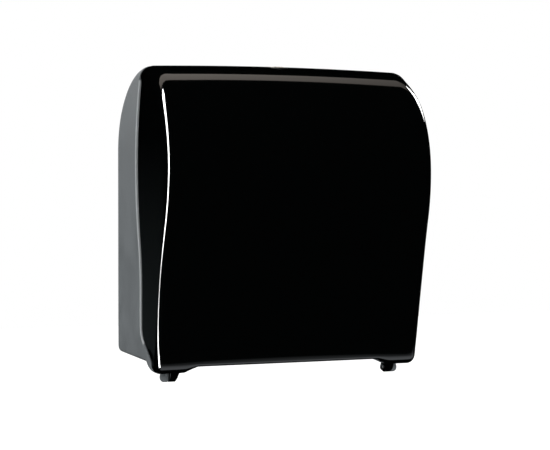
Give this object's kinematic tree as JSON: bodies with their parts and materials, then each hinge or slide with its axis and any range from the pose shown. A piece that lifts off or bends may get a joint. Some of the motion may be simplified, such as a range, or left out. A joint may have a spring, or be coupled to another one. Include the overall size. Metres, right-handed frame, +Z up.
{
  "type": "automatic roll towel dispenser",
  "caption": "Wall cabinet with a glossy bottom-hinged cover over a roll holder, a motor-driven feed roller, a tear blade and a hand sensor.",
  "frame": {"origin": "middle of the wall screw slots, on the wall plane", "axes": "+X to the right seen from the front, +Y into the wall, +Z up"},
  "size_m": [0.33, 0.215, 0.372],
  "materials": {
    "cover_plastic": "gloss moulded ABS",
    "housing_plastic": "fine-textured moulded ABS",
    "frame_plastic": "satin moulded ABS",
    "black_plastic": "satin moulded plastic",
    "gear_plastic": "moulded acetal",
    "steel": "zinc-plated steel",
    "blade_steel": "stainless steel sheet",
    "lock_metal": "nickel-plated zinc",
    "motor_steel": "plated motor can",
    "brass": "turned brass",
    "roller_rubber": "matt moulded rubber",
    "cell_jacket": "printed cell jacket, plain",
    "board": "solder-masked circuit board",
    "lens": "dark infra-red window",
    "lamp": "diffused lamp",
    "lead_red": "vinyl lead",
    "lead_grey": "vinyl lead",
    "control_blue": "moulded control"
  },
  "bodies": {
    "housing": {"rear_housing": "housing_plastic", "hinge_pins": "steel", "panel_screws": "steel", "small_screws": "steel", "lock_keeper": "steel", "roll_arm_left": "frame_plastic", "arm_bracket": "steel", "hub_axle_left": "steel", "pivot_pins": "steel", "return_springs": "steel", "side_plate_left": "frame_plastic", "side_plate_right": "frame_plastic", "back_panel": "frame_plastic", "front_panel": "frame_plastic", "roller_bushes": "gear_plastic", "motor": "motor_steel", "gear_cover": "black_plastic", "rear_guide": "frame_plastic", "front_guide": "frame_plastic", "tear_blade": "blade_steel", "battery_case": "black_plastic", "battery_cells": "cell_jacket", "battery_contacts": "brass", "control_box": "black_plastic", "control_panel": "frame_plastic", "control_board": "board", "status_lamp": "lamp", "sensor_lens": "lens", "sensor_holder": "black_plastic", "sensor_board": "board", "cover_switch": "black_plastic", "battery_lead": "lead_red", "motor_lead": "lead_grey", "sensor_lead": "lead_grey", "lead_clips": "frame_plastic"},
    "cover": {"front_cover": "cover_plastic", "lock_barrel": "lock_metal", "lock_nut": "steel"},
    "lock": {"lock_plug": "lock_metal", "lock_cam": "steel"},
    "swing_arm": {"roll_arm_right": "frame_plastic", "hub_axle_right": "steel"},
    "right_hub": {"hub_right": "gear_plastic"},
    "left_hub": {"hub_left": "gear_plastic"},
    "feed_roller": {"roller_shaft": "steel", "roller_core": "black_plastic", "roller_sleeves": "roller_rubber", "drive_gear": "gear_plastic", "feed_knob": "control_blue"},
    "idler": {"idler_gear": "gear_plastic"},
    "rotor": {"motor_shaft": "steel", "motor_pinion": "brass"},
    "carrier": {"pinch_carrier": "black_plastic"},
    "pinch_roller": {"pinch_shaft": "steel", "pinch_rollers": "roller_rubber"},
    "lid": {"battery_lid": "black_plastic"},
    "button": {"feed_button": "control_blue"},
    "length_control": {"length_slider": "control_blue"},
    "pause_control": {"pause_slider": "control_blue"},
    "plunger": {"switch_plunger": "gear_plastic"}
  },
  "joints": [
    {"name": "cover_hinge", "type": "hinge", "parent": "housing", "child": "cover", "pos_m": [0, -0.141, -0.206], "axis": [1, 0, 0], "range_deg": [0, 100]},
    {"name": "lock_turn", "type": "hinge", "parent": "cover", "child": "lock", "pos_m": [0, -0.124, 0.15], "axis": [0, 0, 1], "range_deg": [0, 90]},
    {"name": "arm_swing", "type": "hinge", "parent": "housing", "child": "swing_arm", "pos_m": [0.114, -0.015, 0.03], "axis": [0, 0, 1], "range_deg": [0, 13], "stiffness_Nm_per_rad": 0.6, "springref_deg": -11.46},
    {"name": "left_hub_spin", "type": "hinge", "parent": "housing", "child": "left_hub", "pos_m": [-0.103, -0.106, 0.043], "axis": [1, 0, 0], "continuous": true},
    {"name": "right_hub_spin", "type": "hinge", "parent": "swing_arm", "child": "right_hub", "pos_m": [0.103, -0.106, 0.043], "axis": [1, 0, 0], "continuous": true},
    {"name": "feed_spin", "type": "hinge", "parent": "housing", "child": "feed_roller", "pos_m": [0, -0.103, -0.14], "axis": [1, 0, 0], "continuous": true},
    {"name": "idler_spin", "type": "hinge", "parent": "housing", "child": "idler", "pos_m": [0.1225, -0.08596, -0.11779], "axis": [1, 0, 0], "continuous": true},
    {"name": "motor_spin", "type": "hinge", "parent": "housing", "child": "rotor", "pos_m": [0.116, -0.05801, -0.11598], "axis": [1, 0, 0], "continuous": true},
    {"name": "carrier_pivot", "type": "hinge", "parent": "housing", "child": "carrier", "pos_m": [0, -0.14, -0.102], "axis": [-1, 0, 0], "range_deg": [0, 6], "stiffness_Nm_per_rad": 2, "springref_deg": -5.73},
    {"name": "pinch_spin", "type": "hinge", "parent": "carrier", "child": "pinch_roller", "pos_m": [0, -0.1293, -0.14], "axis": [1, 0, 0], "continuous": true},
    {"name": "battery_lid_hinge", "type": "hinge", "parent": "housing", "child": "lid", "pos_m": [-0.1558, -0.0752, -0.045], "axis": [0, 0, -1], "range_deg": [0, 90]},
    {"name": "feed_button_press", "type": "slide", "parent": "housing", "child": "button", "axis": [0, 1, 0], "range_m": [0, 0.0015], "stiffness_N_per_m": 300, "springref_m": -0.002},
    {"name": "length_slide", "type": "slide", "parent": "housing", "child": "length_control", "axis": [1, 0, 0], "range_m": [0, 0.006]},
    {"name": "pause_slide", "type": "slide", "parent": "housing", "child": "pause_control", "axis": [1, 0, 0], "range_m": [0, 0.006]},
    {"name": "plunger_slide", "type": "slide", "parent": "housing", "child": "plunger", "axis": [0, -1, 0], "range_m": [0, 0.0025]}
  ],
  "couplings": [
    {"joint": "idler_spin", "follows": "feed_spin", "ratio": -2.5},
    {"joint": "motor_spin", "follows": "feed_spin", "ratio": 9.1667},
    {"joint": "pinch_spin", "follows": "feed_spin", "ratio": -1.6},
    {"joint": "plunger_slide", "follows": "cover_hinge", "m_per_rad": 0.0014}
  ]
}
